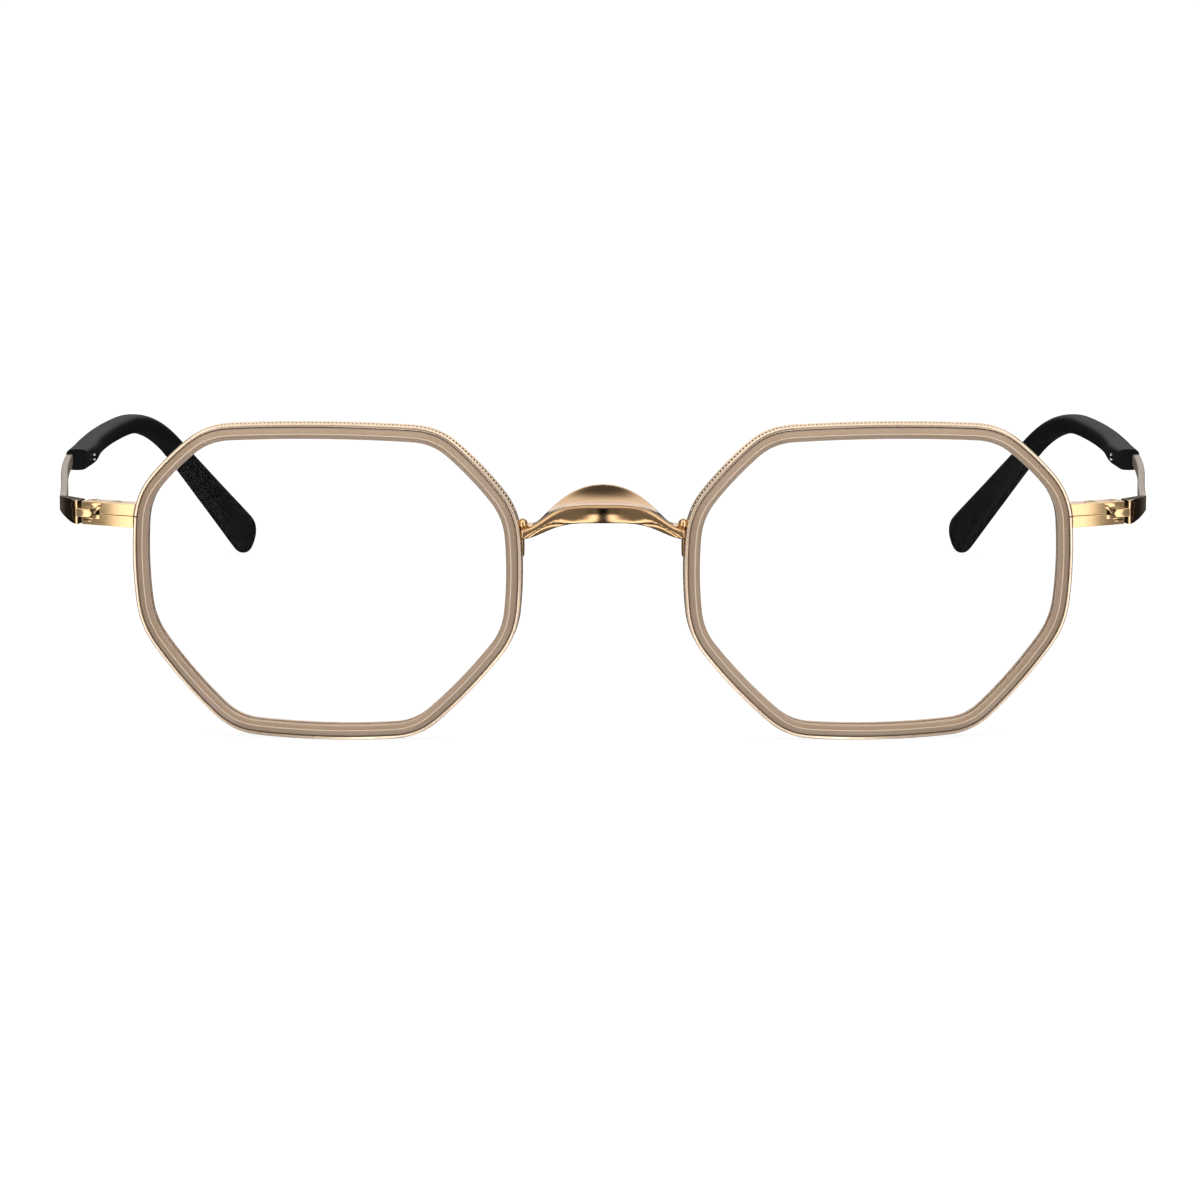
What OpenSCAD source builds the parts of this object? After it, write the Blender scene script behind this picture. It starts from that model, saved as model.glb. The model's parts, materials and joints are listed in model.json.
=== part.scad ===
// Octagonal eyeglasses with metal eyewires, plastic inner rims, a saddle bridge and folding temples.
// X runs to the wearer's left, Y from the lenses back along the temples, Z up.
// The glasses stand open on a table, on both rims and both temple tips.

/* [Eyes] */
// Width of one eyewire over its outside
eye_w = 50.6; // [44:0.1:58]
// Height of one eyewire over its outside
eye_h = 41.5; // [34:0.1:50]
// Gap between the two eyewires over the nose
nose_gap = 20.9; // [16:0.1:26]
// Length of each rounded corner, measured along its sides
corner_round = 3.2; // [2.6:0.1:4.2]
// Bow of each side of the octagon, outwards
side_bow = 0.6; // [0.1:0.05:1]
// Radius of the lenses' front surface
lens_radius = 140; // [100:1:260]
// Thickness of each lens
lens_t = 1; // [0.8:0.05:1.3]
// Backward turn of each eye from the bridge, in degrees
wrap = 5; // [1:0.5:8]

/* [Rims] */
// Thickness of the eyewire, seen from the front
wire_wall = 0.42; // [0.35:0.01:0.7]
// Depth of the eyewire from front to back
wire_depth = 2.3; // [2:0.05:3]
// Width of the groove's floor inside the eyewire
wire_groove = 0.7; // [0.4:0.05:0.9]
// Depth of the groove inside the eyewire
wire_groove_d = 0.14; // [0.08:0.01:0.2]
// Place of that gap, as a share of the way round the upper outer corner
split_share = 0.06; // [0.02:0.01:0.12]
// Gap between the eyewire's two ends, at the endpiece
wire_split = 0.16; // [0.1:0.01:0.3]
// Width of the inner rim, seen from the front
rim_w = 1.55; // [1.3:0.05:2]
// Distance of the inner rim's ridge from its outer edge
ridge_in = 0.85; // [0.5:0.05:1]
// How far the ridge stands in front of the eyewire
ridge_proud = 0.3; // [0.1:0.05:0.6]
// Depth of the lens slot in the inner rim
lens_slot = 0.45; // [0.3:0.05:0.7]

/* [Bridge] */
// Height of the bridge's ends over the lens centres
bridge_up = 6.5; // [4:0.1:9]
// Height of the bridge's ends
bridge_end_h = 1.4; // [1:0.05:2]
// Rise of the front arch's upper edge to the middle
arch_rise = 3.35; // [2:0.1:5]
// Rise of the front arch's lower edge to the middle
arch_low_rise = 2.25; // [1.5:0.05:4]
// Forward bow of the front arch in the middle
arch_bow = 1; // [0:0.1:2]
// Depth of the rounding of the front arch's face
arch_round = 0.5; // [0.2:0.05:0.8]
// Depth of the saddle from front to back, in the middle
saddle_depth = 7; // [5:0.1:9]
// Depth of the bridge where it meets the eyewires
bridge_end_depth = 2.6; // [1.8:0.1:3]
// Height of the saddle's rear crest over the front crest, in the middle
saddle_lift = 1.55; // [0.5:0.1:3]
// Half the width of the saddle's rear crest
saddle_half = 8.4; // [6:0.1:9.5]
// Thickness of the saddle's wall
saddle_wall = 1; // [0.8:0.05:1.4]
// Dip between the two crests
saddle_dip = 0.45; // [0:0.05:0.8]
// Length of each foot along its eyewire
foot_len = 5; // [3:0.1:7]
// Thickness of each foot
foot_t = 0.35; // [0.25:0.05:0.6]

/* [Endpieces and hinges] */
// Height of an endpiece at the rim
endpiece_h = 3.1; // [2.9:0.05:3.6]
// Height of an endpiece at the hinge
knuckle_h = 3.05; // [2.8:0.05:3.2]
// Thickness of an endpiece from front to back
endpiece_t = 2.2; // [2:0.05:2.8]
// Length from the rim to the hinge axis
endpiece_len = 6.3; // [5.8:0.1:9]
// Bow of an endpiece's front face along its length
endpiece_bow = 0.15; // [0.05:0.01:0.25]
// Backward sweep of an endpiece, in degrees
endpiece_sweep = 21.5; // [15:0.5:30]
// Gap between an endpiece's two halves
endpiece_split = 0.08; // [0.05:0.01:0.15]
// Reach of an endpiece beyond the hinge axis
knuckle_reach = 1.3; // [1.2:0.05:1.5]
// Gap between an endpiece and the temple joint, open
butt_gap = 0.5; // [0.45:0.01:0.8]
// Height of the middle knuckle
tongue_h = 1.1; // [0.8:0.05:1.2]
// Radius of the middle knuckle
tongue_r = 1.05; // [1:0.01:1.08]
// Radius of the hinge screw
hinge_pin_r = 0.55; // [0.45:0.01:0.65]
// Radius of the hinge screw's head
hinge_head_r = 0.85; // [0.75:0.01:0.95]
// Distance of the rim screw from the rim
rim_screw_in = 3.1; // [2.4:0.1:3.5]
// Radius of the rim screw
rim_pin_r = 0.45; // [0.35:0.01:0.55]
// Radius of the rim screw's head
rim_head_r = 0.75; // [0.65:0.01:0.9]
// Height of a screw's head
screw_head_h = 0.4; // [0.3:0.05:0.5]
// Width of the slot in a screw's head
screw_slot = 0.22; // [0.15:0.01:0.3]

/* [Temples] */
// Height of the temple joint
joint_h = 3.1; // [2.8:0.05:3.4]
// Length of the temple joint behind the hinge axis
joint_len = 7; // [6:0.1:10]
// Offset of the strip outside the hinge axis
strip_out = 4.6; // [4.2:0.1:5]
// Thickness of the temple strip
strip_t = 1; // [0.8:0.05:1.2]
// Height of the temple strip
strip_h = 1.9; // [1.6:0.05:2.3]
// Length of the strip from the joint to the tip
strip_len = 48.5; // [40:0.5:60]
// Length from the tip's front end to the ear bend
bend_at = 37; // [30:0.5:44]
// Radius of the ear bend
bend_r = 29; // [24:0.5:36]
// Length over which the temple's slope changes at either end of the strip
ease = 4; // [2:0.5:6]
// Downward slope of the strip, in degrees
strip_slope = 3; // [2:0.1:4]
// Downward slope of the tip in front of the ear bend, in degrees
tip_slope = 1.2; // [0.5:0.1:2]
// Downward slope of the tip's tail, in degrees
tail_slope = 37.5; // [32:0.5:44]
// Outward turn of the temple at the joint, in degrees
turn_joint = 4.5; // [3:0.5:7]
// Outward turn of the temple halfway along the strip, in degrees
turn_mid = 6; // [4:0.5:8]
// Outward turn of the temple at the tip's front end, in degrees
turn_tip = 2; // [0:0.5:4]
// Inward turn of the temple at the ear bend, in degrees
turn_bend = 16; // [12:0.5:19]
// Inward turn of the temple behind the ear bend, in degrees
turn_tail = 25; // [21:0.5:28]

/* [Tips] */
// Width of a tip at its front end
tip_w = 3.1; // [2.8:0.05:3.4]
// Width of a tip at its pins
tip_pin_w = 3.7; // [3.4:0.05:4]
// Width of a tip at the ear bend
tip_bend_w = 3.3; // [3:0.05:3.6]
// Distance of the tip's middle inside the strip's middle, at its pins
tip_pin_in = 1.7; // [1.5:0.05:1.9]
// Height of a tip at its front end
tip_front_h = 3; // [2.8:0.05:3.6]
// Rise of a tip's middle over the strip's middle at its front end
tip_front_up = 0.1; // [0:0.05:0.2]
// Height of a tip at the ear bend
tip_bend_h = 2.9; // [2.8:0.05:3.4]
// Height of the paddle at a tip's end
paddle_h = 6.2; // [5.2:0.1:7]
// Thickness of the paddle
paddle_t = 2.6; // [2.3:0.05:3]
// Length of the squared collar at a tip's front end
collar_len = 16; // [12:0.5:20]
// Length of the paddle's flare
paddle_len = 30; // [22:1:36]
// Thickness of the core inside a tip
core_t = 0.7; // [0.6:0.05:0.8]
// Height of the core inside a tip
core_h = 1.5; // [1.2:0.05:1.6]
// Distance of the core's end from the tip's end
core_short = 12; // [9:0.5:20]
// Distance of the core's middle inside the strip's middle
core_in = 0.2; // [0.1:0.05:0.3]
// Radius of a tip pin
pin_r = 0.17; // [0.12:0.01:0.2]
// Spacing of the two tip pins
pin_gap = 0.64; // [0.5:0.02:0.8]
// Distance of the tip pins from the tip's front end
pin_in = 7; // [5:0.5:9]

/* [Fits] */
// Clearance of a turning fit, on the radius
turn_fit = 0.04; // [0.02:0.01:0.08]
// Clearance of a fixed fit, on each side
seat_fit = 0.04; // [0.02:0.01:0.05]
// Height clearance on each side of the middle knuckle
knuckle_fit = 0.05; // [0.03:0.01:0.08]

/* [Hidden] */
$fn = 48;

gold = [0.80, 0.64, 0.42];
taupe = [0.64, 0.55, 0.46];
taupe_metal = [0.58, 0.53, 0.48];
satin_black = [0.08, 0.08, 0.09];
silver = [0.78, 0.78, 0.78];
clear_lens = [0.86, 0.93, 0.95, 0.35];

// The octagon's corners, as shares of half the width and half the height.
// They start at the lower end of the temple side and go up and over to the nose.
corner_shares = [[0.967, -0.30], [0.983, 0.525], [0.614, 0.968], [-0.572, 0.973],
    [-0.979, 0.451], [-0.972, -0.33], [-0.473, -0.976], [0.493, -0.964]];
corner_steps = 6;
side_steps = 6;

function unit(v) = v / norm(v);
function corner(i) = let (c = corner_shares[(i + 8) % 8]) [c.x * eye_w / 2, c.y * eye_h / 2];
function span(i) = norm(corner(i + 1) - corner(i));
function outward(i) = let (d = unit(corner(i + 1) - corner(i))) [d.y, -d.x];
function side_at(i, f) = corner(i) + (corner(i + 1) - corner(i)) * f + outward(i) * 4 * side_bow * f * (1 - f);
function side_dir(i, f) = unit(corner(i + 1) - corner(i) + outward(i) * 4 * side_bow * (1 - 2 * f));

// A station is a point of the outline and the direction of the outline there.
function side_station(i, f) = [side_at(i, f), side_dir(i, f)];
function side_stations(i) = let (f0 = corner_round / span(i), f1 = 1 - f0)
    [for (j = [1:side_steps - 1]) side_station(i, f0 + (f1 - f0) * j / side_steps)];
function curve(a, b, c, f) = (1 - f) ^ 2 * a + 2 * f * (1 - f) * b + f ^ 2 * c;
function corner_station(i, f) =
    let (a = side_station(i - 1, 1 - corner_round / span(i - 1)), b = side_station(i, corner_round / span(i)),
        middle = a[0] + a[1] * cross(b[0] - a[0], b[1]) / cross(a[1], b[1]))
    [curve(a[0], middle, b[0], f), unit((1 - f) * (middle - a[0]) + f * (b[0] - middle))];
function corner_stations(i, first = 0) = [for (j = [first:corner_steps]) corner_station(i, j / corner_steps)];
// The outline starts at the endpiece, in the upper corner of the temple side, and goes once round.
outline = concat([corner_station(1, split_share)], corner_stations(1, 1), side_stations(1),
    [for (i = [2:8]) each concat(corner_stations(i), side_stations(i))], [corner_station(1, 0)]);

function inset(station, w) = station[0] + w * [-station[1].y, station[1].x];
function slid(station, d) = [station[0] + d * station[1], station[1]];
// The lens surface lies this far behind its middle.
function sag(p) = lens_radius - sqrt(lens_radius ^ 2 - p.x ^ 2 - p.y ^ 2);
function eye_point(p, depth) = [p.x, depth + sag(p), p.y];
function section_at(station, section) = [for (q = section) eye_point(inset(station, q.x), q.y)];

// Places of the eyes, and the depth from their middle to their corners' back
eye_deep = sag([eye_w / 2, eye_h / 2]) + wire_depth;
eye_x = nose_gap / 2 + eye_w / 2 * cos(wrap) + sag([eye_w / 2, 0]) * sin(wrap);
eye_z = -min([for (s = outline) s[0].y]);

// Sections of the rims, as inset from the outline and depth from the front
wire_edge = 0.12;
groove_mid = wire_depth / 2;
groove_low = groove_mid - wire_groove / 2;
groove_high = groove_mid + wire_groove / 2;
groove_floor = wire_wall - wire_groove_d;
wire_section = [[wire_edge, 0], [wire_wall, 0], [wire_wall, groove_low - wire_groove_d],
    [groove_floor, groove_low], [groove_floor, groove_high], [wire_wall, groove_high + wire_groove_d],
    [wire_wall, wire_depth], [wire_edge, wire_depth], [0, wire_depth - wire_edge], [0, wire_edge]];

rim_out = wire_wall + seat_fit;
rim_in = rim_out + rim_w;
rim_edge = 0.12;
rim_back = wire_depth + 0.1;
slot_front = groove_mid - lens_t / 2 - seat_fit;
slot_back = groove_mid + lens_t / 2 + seat_fit;
tongue_top = rim_out - wire_groove_d;
rim_section = [[rim_out, rim_edge], [rim_out + ridge_in, -ridge_proud], [rim_in - rim_edge, 0],
    [rim_in, 2 * rim_edge], [rim_in, slot_front], [rim_in - lens_slot, slot_front],
    [rim_in - lens_slot, slot_back], [rim_in, slot_back], [rim_in, rim_back - rim_edge],
    [rim_in - rim_edge, rim_back], [rim_out, rim_back], [rim_out, groove_high + wire_groove_d - seat_fit],
    [tongue_top, groove_high - seat_fit], [tongue_top, groove_low + seat_fit],
    [rim_out, groove_low - wire_groove_d + seat_fit]];

// Hinge axis, from the point of the outline where the endpiece starts
split_point = outline[0][0];
endpiece_up = eye_z + split_point.y;
rim_side = eye_to_front(eye_point(split_point, wire_edge));
hinge_x = rim_side.x + endpiece_len * cos(endpiece_sweep) - endpiece_t / 2 * sin(endpiece_sweep);
hinge_y = rim_side.y + endpiece_len * sin(endpiece_sweep) + endpiece_t / 2 * cos(endpiece_sweep);
tongue_gap = 0.25;
slot_h = tongue_h + 2 * knuckle_fit;

function eye_to_front(p) = [eye_x + p.x * cos(wrap) - p.y * sin(wrap), p.x * sin(wrap) + p.y * cos(wrap),
    eye_z + p.z];

// Temple centre line: pitch goes down from level to the slope of the strip, the tip and the tail,
// and turn goes from outwards to inwards. Lengths are measured from the temple joint's rear end.
to_bend = strip_len + bend_at;
bend_len = bend_r * (tail_slope - tip_slope) * PI / 180;
past_bend = to_bend + bend_len;
strip_start = [hinge_x + strip_out, hinge_y + joint_len, endpiece_up];
function pitch(s) = lookup(s, [[0, 0], [ease, strip_slope], [strip_len - ease, strip_slope],
    [strip_len + ease, tip_slope], [to_bend, tip_slope], [past_bend, tail_slope]]);
function turn(s) = lookup(s, [[0, turn_joint], [strip_len / 2, turn_mid], [strip_len, turn_tip],
    [to_bend, -turn_bend], [past_bend, -turn_tail]]);
function along(s) = [sin(turn(s)) * cos(pitch(s)), cos(turn(s)) * cos(pitch(s)), -sin(pitch(s))];
function outside(s) = [cos(turn(s)), -sin(turn(s)), 0];
function upward(s) = [sin(turn(s)) * sin(pitch(s)), cos(turn(s)) * sin(pitch(s)), cos(pitch(s))];
path_step = 0.5;
function walk(from, s) = from + path_step * along(s + path_step / 2);
front_path = [for (i = 0, p = strip_start; i * path_step <= past_bend + path_step;
    p = walk(p, i * path_step), i = i + 1) p];
function front_path_at(s) = let (i = floor(s / path_step))
    front_path[i] + (front_path[i + 1] - front_path[i]) * (s / path_step - i);
// Behind the bend the tail is straight, and its end stands on the table.
tail_start = front_path_at(past_bend);
paddle_end = paddle_h / 2;
tail_len = paddle_end + (tail_start.z - paddle_end) / sin(tail_slope);
temple_len = past_bend + tail_len;
function path_at(s) = s < past_bend ? front_path_at(s) : tail_start + (s - past_bend) * along(past_bend);

// A ring of points round the temple: width, height, centre offsets and squareness
ring_points = 16;
function round_power(a, power) = sign(a) * pow(abs(a), 2 / power);
function temple_ring(s, w, h, out, up, power) = [for (i = [0:ring_points - 1])
    let (a = 360 * (i + 0.5) / ring_points)
    path_at(s) + outside(s) * (out + w / 2 * round_power(cos(a), power))
        + upward(s) * (up + h / 2 * round_power(sin(a), power))];

// The tip: squared collar, slim ear bend and wide paddle, with a channel for the core.
// Its front end is flush with the strip's outer face.
tip_steps = 26;
bore_end_gap = 0.3;
pin_at = strip_len + pin_in;
tip_front_in = (tip_w - strip_t) / 2;
level_share = 0.6;
tip_squareness = [4, 3, 2.6];
function tip_height(s) = lookup(s, [[strip_len + collar_len * level_share, tip_front_h],
    [strip_len + collar_len, tip_bend_h],
    [temple_len - paddle_len, tip_bend_h], [temple_len - paddle_end, paddle_h]]);
function tip_width(s) = lookup(s, [[strip_len, tip_w], [pin_at, tip_pin_w], [strip_len + collar_len, tip_bend_w],
    [temple_len - paddle_len, tip_bend_w], [temple_len - paddle_end, paddle_t]]);
function tip_square(s) = lookup(s, [[strip_len, tip_squareness[0]], [strip_len + collar_len, tip_squareness[1]],
    [past_bend, tip_squareness[2]]]);
function tip_in(s) = lookup(s, [[strip_len, tip_front_in], [pin_at, tip_pin_in], [to_bend, 0]]);
function tip_up(s) = lookup(s, [[strip_len, tip_front_up], [strip_len + collar_len, 0]]);
function tip_ring(s, share) = temple_ring(s, tip_width(s) * share, tip_height(s) * share, -tip_in(s), tip_up(s),
    tip_square(s));
tip_flat_end = temple_len - paddle_end;
tip_nose_steps = 5;
tip_nose_angle = 87;
tip_nose = [for (i = [1:tip_nose_steps]) let (a = tip_nose_angle * i / tip_nose_steps)
    tip_ring(tip_flat_end + paddle_end * sin(a), cos(a))];

// Overall depth, with the origin under the middle of the standing glasses
front_most = -max(ridge_proud, arch_bow);
back_most = max([for (r = tip_nose) each [for (p = r) p.y]]);
front_y = -(front_most + back_most) / 2;

// A solid skinned over rings of points
module skin(rings, closed = false) {
    count = len(rings);
    m = len(rings[0]);
    last = closed ? count - 1 : count - 2;
    sides = [for (i = [0:last], j = [0:m - 1], half = [0, 1])
        let (a = i * m + j, b = i * m + (j + 1) % m, next = (i + 1) % count * m, c = next + (j + 1) % m, d = next + j)
        half == 0 ? [a, b, c] : [a, c, d]];
    caps = closed ? [] : [[for (j = [m - 1:-1:0]) j], [for (j = [0:m - 1]) (count - 1) * m + j]];
    polyhedron([for (r = rings) each r], concat(sides, caps));
}

module in_front_frame() { translate([0, front_y, 0]) children(); }
module at_eye() { in_front_frame() translate([eye_x, 0, eye_z]) rotate([0, 0, wrap]) children(); }
module at_hinge() {
    in_front_frame() translate([hinge_x, hinge_y, endpiece_up]) rotate([0, 0, endpiece_sweep]) children();
}
module other_side() { mirror([1, 0, 0]) children(); }

// Everything inside the outline, grown by a margin, as a prism through the eye
module eye_prism(w, front, back) {
    translate([0, back, 0]) rotate([90, 0, 0]) linear_extrude(back - front)
        polygon([for (s = outline) inset(s, w)]);
}

module eyewire() {
    open_outline = concat([slid(outline[0], wire_split / 2)], [for (i = [1:len(outline) - 1]) outline[i]],
        [slid(outline[0], -wire_split / 2)]);
    color(gold) at_eye() skin([for (s = open_outline) section_at(s, wire_section)]);
}

module inner_rim() {
    color(taupe) at_eye() skin([for (s = outline) section_at(s, rim_section)], true);
}

module lens() {
    front = slot_front + seat_fit;
    deep = front + lens_radius;
    color(clear_lens) at_eye() intersection() {
        eye_prism(rim_in - lens_slot + seat_fit, -lens_t, 2 * eye_deep);
        difference() {
            translate([0, deep, 0]) sphere(lens_radius, $fn = 240);
            translate([0, deep + lens_t, 0]) sphere(lens_radius, $fn = 240);
        }
    }
}

// Half the width between the eyewires at a height and a depth
nose_side = [for (i = [len(outline) - 1:-1:0]) if (outline[i][0].x < -0.9 * eye_w / 2) outline[i][0]];
function nose_wall(y, z) = let (u = lookup(z - eye_z, [for (p = nose_side) [p.y, p.x]]))
    eye_x + u * cos(wrap) - (y - u * sin(wrap)) * tan(wrap) - seat_fit;

// The bridge's cross-section at a share of the way from the middle to the eyewire
bridge_z = eye_z + bridge_up;
arch_flat = 1.7;
crest_power = 1.1;
crest_end_lift = 0.6;
crest_edge = 0.5;
face_turns = [-90:30:90];
// Points of the saddle's upper surface, as shares of its depth, its rise and its dip, and of its lower surface
saddle_over = [[0.05, 0.05, 0.5], [0.35, 0.35, 1], [0.68, 0.75, 0.5]];
saddle_under = [[0.65, 0.7], [0.35, 0.3]];
function swell(f) = (1 + cos(180 * min(1, f) ^ arch_flat)) / 2;
function crest(f) = max(0, 1 - (f * nose_gap / 2 / saddle_half) ^ 2) ^ crest_power;
function bridge_section(f) =
    let (top = bridge_z + bridge_end_h / 2 + arch_rise * swell(f),
        low = bridge_z - bridge_end_h / 2 + arch_low_rise * swell(f),
        end_top = bridge_z + bridge_end_h / 2 + crest_end_lift,
        mid_top = bridge_z + bridge_end_h / 2 + arch_rise + saddle_lift,
        rear = end_top + (mid_top - end_top) * crest(f),
        deep = bridge_end_depth + (saddle_depth - bridge_end_depth) * crest(f),
        wall = min(saddle_wall, deep / 2),
        dip = saddle_dip * crest(f),
        rise = rear - top,
        face = [for (a = face_turns) [arch_round * (1 - cos(a)), (low + top) / 2 + (top - low) / 2 * sin(a)]],
        flat = deep - arch_round,
        over = [for (q = saddle_over) [arch_round + flat * q[0], top + rise * q[1] - dip * q[2]]],
        lip = [[deep - crest_edge, rear], [deep - crest_edge / 5, rear - crest_edge / 3], [deep, rear - wall / 2],
            [deep - crest_edge / 2, rear - wall]],
        under = [[deep * saddle_under[0][0], top + rise * saddle_under[0][1] - dip - wall],
            [deep * saddle_under[1][0], (top + rise * saddle_under[1][1] - dip - wall + low) / 2]],
        bow = arch_bow * (1 - f ^ 2))
    [for (q = concat(face, over, lip, under)) [q.x - bow * (1 - q.x / deep), q.y]];
bridge_steps = 16;
function bridge_ring(f) = [for (q = bridge_section(abs(f))) [f * nose_wall(q.x, q.y), q.x, q.y]];

// A foot lies along the eyewire behind the bridge's end
foot_over = 1.82;
foot_front = 0.7;
foot_deep = 1.3;
foot_edge = 0.15;
foot_top = bridge_z + foot_over;
foot_rings = 10;
lug_t = 0.55;
lug_share = 0.45;
function foot_ring(f) =
    let (z = foot_top - foot_len * f, thick = foot_t * (1 - f ^ 4 / 2) + lug_t * swell(f / lug_share),
        back = foot_front + foot_deep)
    [[nose_wall(foot_front, z), foot_front, z], [nose_wall(back, z), back, z],
        [nose_wall(back, z) - thick, back - foot_edge, z],
        [nose_wall(foot_front, z) - thick, foot_front + foot_edge, z]];

module saddle_bridge() {
    color(gold) in_front_frame() {
        skin([for (i = [-bridge_steps:bridge_steps]) bridge_ring(i / bridge_steps)]);
        for (side = [0, 1]) mirror([side, 0, 0]) skin([for (i = [0:foot_rings]) foot_ring(i / foot_rings)]);
    }
}

// The endpiece's plan and side view, from the hinge axis back to the rim
rim_reach = endpiece_len + 1;
bow_half = (rim_reach + knuckle_reach) / 2;
bow_r = (bow_half ^ 2 + endpiece_bow ^ 2) / (2 * endpiece_bow);
module endpiece_body() {
    intersection() {
        translate([0, 0, -endpiece_h / 2]) linear_extrude(endpiece_h) intersection() {
            union() {
                translate([-rim_reach, -endpiece_t / 2]) square([rim_reach, endpiece_t]);
                circle(endpiece_t / 2);
                translate([0, -endpiece_t / 2]) square([knuckle_reach, endpiece_t / 2]);
            }
            translate([knuckle_reach - bow_half, bow_r - endpiece_t / 2]) circle(bow_r, $fn = 720);
        }
        translate([0, endpiece_t, 0]) rotate([90, 0, 0]) linear_extrude(2 * endpiece_t)
            polygon([[-rim_reach, -endpiece_h / 2], [-endpiece_len, -endpiece_h / 2], [0, -knuckle_h / 2],
                [knuckle_reach, -knuckle_h / 2], [knuckle_reach, knuckle_h / 2], [0, knuckle_h / 2],
                [-endpiece_len, endpiece_h / 2], [-rim_reach, endpiece_h / 2]]);
    }
}
tongue_room = tongue_r + tongue_gap;
module tongue_slot() {
    translate([-tongue_room, -endpiece_t, -slot_h / 2])
        cube([tongue_room + 2 * knuckle_reach, 2 * endpiece_t, slot_h]);
}
module through_rim_cut() {
    at_eye() eye_prism(-seat_fit, -eye_deep, 2 * eye_deep);
}
rim_screw_e = rim_screw_in - endpiece_len;
rim_screw_top = endpiece_h / 2 - (endpiece_h - knuckle_h) / 2 * (1 + rim_screw_e / endpiece_len);

module endpiece_half(upper) {
    color(gold) difference() {
        at_hinge() difference() {
            endpiece_body();
            translate([-2 * rim_reach, -endpiece_t, upper ? -endpiece_h : -endpiece_split / 2])
                cube([4 * rim_reach, 2 * endpiece_t, endpiece_h + endpiece_split / 2]);
            tongue_slot();
            cylinder(h = 2 * endpiece_h, r = hinge_pin_r + (upper ? turn_fit : seat_fit / 2), center = true);
            translate([rim_screw_e, 0, 0])
                cylinder(h = 2 * endpiece_h, r = rim_pin_r + seat_fit / (upper ? 1 : 2), center = true);
            translate([0, 0, knuckle_h / 2 - screw_head_h - seat_fit])
                cylinder(h = endpiece_h, r = hinge_head_r + seat_fit);
            translate([rim_screw_e, 0, rim_screw_top - screw_head_h - seat_fit])
                cylinder(h = endpiece_h, r = rim_head_r + seat_fit);
        }
        through_rim_cut();
    }
}

// A slotted screw from its head's top down
module screw(length, pin_r, head_r) {
    difference() {
        union() {
            translate([0, 0, -length]) cylinder(h = length - screw_head_h / 2, r = pin_r);
            translate([0, 0, -screw_head_h]) cylinder(h = screw_head_h, r = head_r);
        }
        translate([-head_r * 2, -screw_slot / 2, -screw_head_h / 2]) cube([head_r * 4, screw_slot, screw_head_h]);
    }
}
module hinge_screw() {
    color(gold) at_hinge() translate([0, 0, knuckle_h / 2]) rotate([0, 0, 35])
        screw(knuckle_h, hinge_pin_r, hinge_head_r);
}
module rim_screw() {
    color(gold) at_hinge() translate([rim_screw_e, 0, rim_screw_top]) rotate([0, 0, -20])
        screw(2 * rim_screw_top, rim_pin_r, rim_head_r);
}

// The temple joint: a corner block that goes on from the endpiece and turns back to the strip
joint_front = knuckle_reach + butt_gap;
joint_face = 0.35;
joint_bow = [0.8, 0.43];
joint_inner_bow = [0.75, -1 / 3];
joint_level = 1;
joint_steps = 6;
function from_hinge(e, n) = [e * cos(endpiece_sweep) - n * sin(endpiece_sweep),
    e * sin(endpiece_sweep) + n * cos(endpiece_sweep)];
module temple_joint_plan() {
    strip_side = strip_t / 2 * [cos(turn_joint), -sin(turn_joint)];
    outer = [strip_out, joint_len] + strip_side;
    inner = [strip_out, joint_len] - strip_side;
    outer_front = from_hinge(joint_front + joint_face, -endpiece_t / 2);
    inner_front = from_hinge(joint_front, endpiece_t / 2);
    outer_bow = [outer.x * joint_bow.x, outer.y * joint_bow.y];
    inner_bow = outer_bow - endpiece_t * joint_inner_bow;
    polygon(concat([from_hinge(joint_front, -endpiece_t / 2)],
        [for (i = [0:joint_steps]) curve(outer_front, outer_bow, outer, i / joint_steps)],
        [for (i = [joint_steps:-1:0]) curve(inner_front, inner_bow, inner, i / joint_steps)]));
}
module temple_joint() {
    in_front_frame() color(gold) translate([hinge_x, hinge_y, endpiece_up]) difference() {
        union() {
            intersection() {
                translate([0, 0, -joint_h / 2]) linear_extrude(joint_h) temple_joint_plan();
                translate([-joint_len, 0, 0]) rotate([90, 0, 90]) linear_extrude(3 * joint_len)
                    polygon([[-joint_len, -joint_h / 2], [joint_level, -joint_h / 2], [joint_len, -strip_h / 2],
                        [2 * joint_len, -strip_h / 2], [2 * joint_len, strip_h / 2], [joint_len, strip_h / 2],
                        [joint_level, joint_h / 2], [-joint_len, joint_h / 2]]);
            }
            translate([0, 0, -tongue_h / 2]) linear_extrude(tongue_h) rotate(endpiece_sweep) union() {
                circle(tongue_r);
                translate([0, -tongue_r]) square([joint_front + joint_face, 2 * tongue_r]);
            }
        }
        cylinder(h = 2 * joint_h, r = hinge_pin_r + turn_fit, center = true);
    }
}

// The strip, which runs on as a core inside the tip
strip_steps = 12;
core_steps = 16;
core_len = temple_len - core_short;
strip_square = 6;
module temple_strip() {
    strip = [for (i = [0:strip_steps]) temple_ring(strip_len * i / strip_steps,
        strip_t, strip_h, 0, 0, strip_square)];
    core = [for (i = [0:core_steps]) temple_ring(strip_len + (core_len - strip_len) * i / core_steps,
        core_t, core_h, -core_in, 0, strip_square)];
    color(taupe_metal) in_front_frame() skin(concat(strip, core));
}

module temple_tip() {
    outer = [for (i = [0:tip_steps]) tip_ring(strip_len + (tip_flat_end - strip_len) * i / tip_steps, 1)];
    bore_end = core_len + bore_end_gap;
    bore = [for (i = [core_steps:-1:0]) temple_ring(strip_len + (bore_end - strip_len) * i / core_steps,
        core_t + 2 * seat_fit, core_h + 2 * seat_fit, -core_in, 0, strip_square)];
    color(satin_black) in_front_frame() difference() {
        skin(concat(bore, outer, tip_nose));
        pins(seat_fit);
    }
}

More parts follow.
